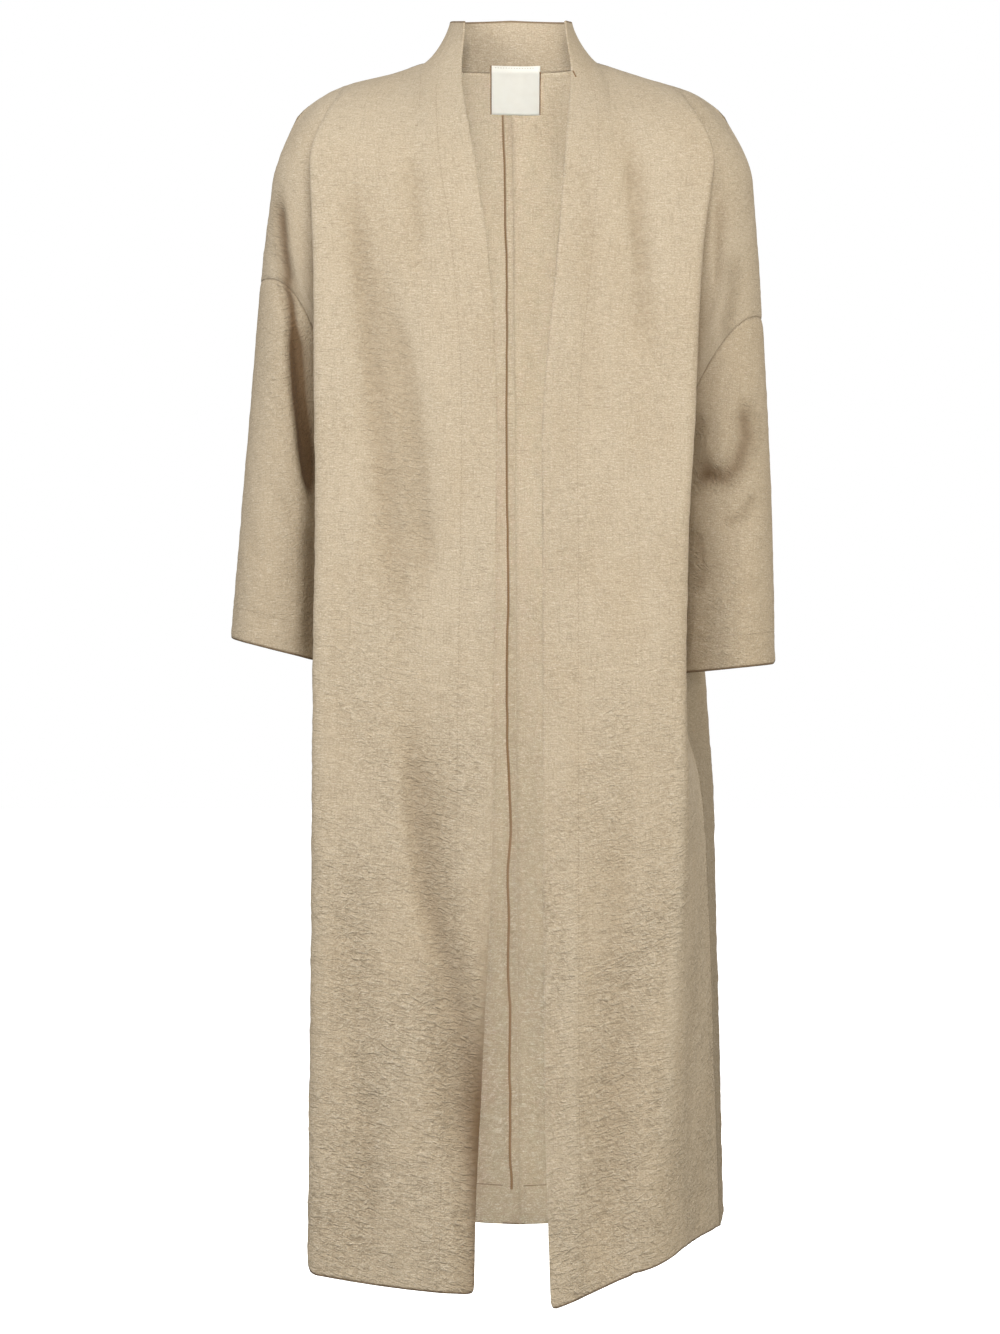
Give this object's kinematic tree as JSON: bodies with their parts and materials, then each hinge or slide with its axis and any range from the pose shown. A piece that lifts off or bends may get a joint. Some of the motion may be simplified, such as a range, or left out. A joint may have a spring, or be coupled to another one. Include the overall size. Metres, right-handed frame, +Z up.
{
  "type": "open duster coat",
  "caption": "Long open-front duster coat with grown-on stand collar, dropped shoulders and bracelet sleeves, in the hollow form of a worn garment.",
  "frame": {"origin": "the nape: the centre of the back-neck seam, where the wearer's neck and shoulders carry the coat", "axes": "+Z up, +X to the wearer's left, -Y out of the front"},
  "size_m": [0.5144, 0.2952, 1.2021],
  "materials": {
    "linen_front": "matt oatmeal melange linen",
    "linen_back": "matt oatmeal melange linen",
    "linen_sleeve": "matt oatmeal melange linen",
    "linen_collar": "matt oatmeal melange linen",
    "linen_trim": "matt linen, folded edge",
    "label_cream": "smooth woven tape, blank"
  },
  "bodies": {
    "root": {"front_left": "linen_front", "front_right": "linen_front", "back_left": "linen_back", "back_right": "linen_back", "sleeve_left": "linen_sleeve", "sleeve_right": "linen_sleeve", "collar_back": "linen_collar", "seam_allowance_centre_back": "linen_trim", "hem_turnup_back_left": "linen_trim", "hem_turnup_back_right": "linen_trim", "neck_label": "label_cream"}
  },
  "joints": []
}
